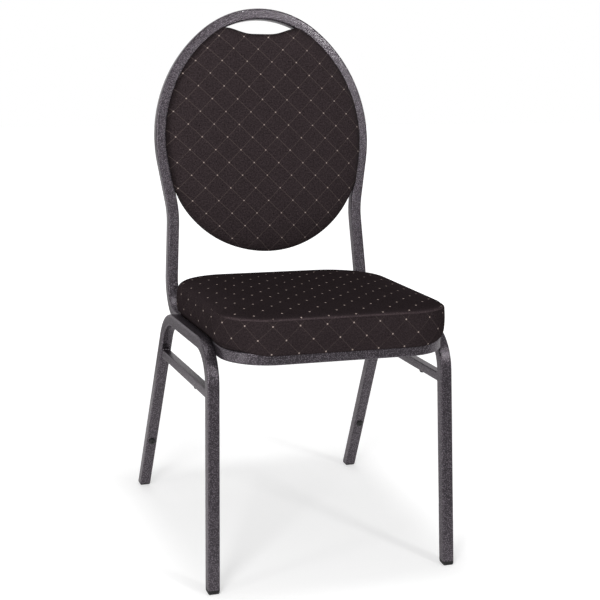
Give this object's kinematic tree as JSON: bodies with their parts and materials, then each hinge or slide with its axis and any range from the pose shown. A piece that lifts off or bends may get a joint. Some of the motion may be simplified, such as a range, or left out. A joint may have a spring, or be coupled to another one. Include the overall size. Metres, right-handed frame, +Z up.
{
  "type": "stacking chair",
  "caption": "Stackable banquet chair with a square tube hoop back, welded leg frames, a boxed upholstered seat and a back pad with a hand notch.",
  "frame": {"origin": "middle of the footprint on the floor", "axes": "+Z up, +X to the sitter's left, -Y to the front of the chair"},
  "size_m": [0.4512, 0.5301, 0.9176],
  "materials": {
    "frame_coat": "antique silver hammertone powder coat, half gloss",
    "seat_fabric": "near black woven cover with a lattice of small pale dots",
    "back_fabric": "near black woven cover with a lattice of small pale dots and thin diagonal lines",
    "board_plywood": "raw plywood",
    "liner_cloth": "thin black non-woven cloth",
    "zinc_fixings": "zinc plated",
    "glide_plastic": "black, lightly textured",
    "buffer_rubber": "black"
  },
  "bodies": {
    "root": {"back_hoop": "frame_coat", "seat_front_bow": "frame_coat", "left_leg_frame": "frame_coat", "right_leg_frame": "frame_coat", "left_stretcher": "frame_coat", "right_stretcher": "frame_coat", "rear_cross_bar": "frame_coat", "seat_lugs": "frame_coat", "back_lugs": "frame_coat", "seat_cushion": "seat_fabric", "back_cushion": "back_fabric", "back_rear_panel": "back_fabric", "seat_board": "board_plywood", "back_board": "board_plywood", "seat_liner": "liner_cloth", "seat_t_nuts": "zinc_fixings", "seat_screws": "zinc_fixings", "back_screws": "zinc_fixings", "front_left_glide": "glide_plastic", "front_right_glide": "glide_plastic", "rear_left_glide": "glide_plastic", "rear_right_glide": "glide_plastic", "left_leg_buffer": "buffer_rubber", "right_leg_buffer": "buffer_rubber", "left_stretcher_buffer": "buffer_rubber", "right_stretcher_buffer": "buffer_rubber"}
  },
  "joints": []
}
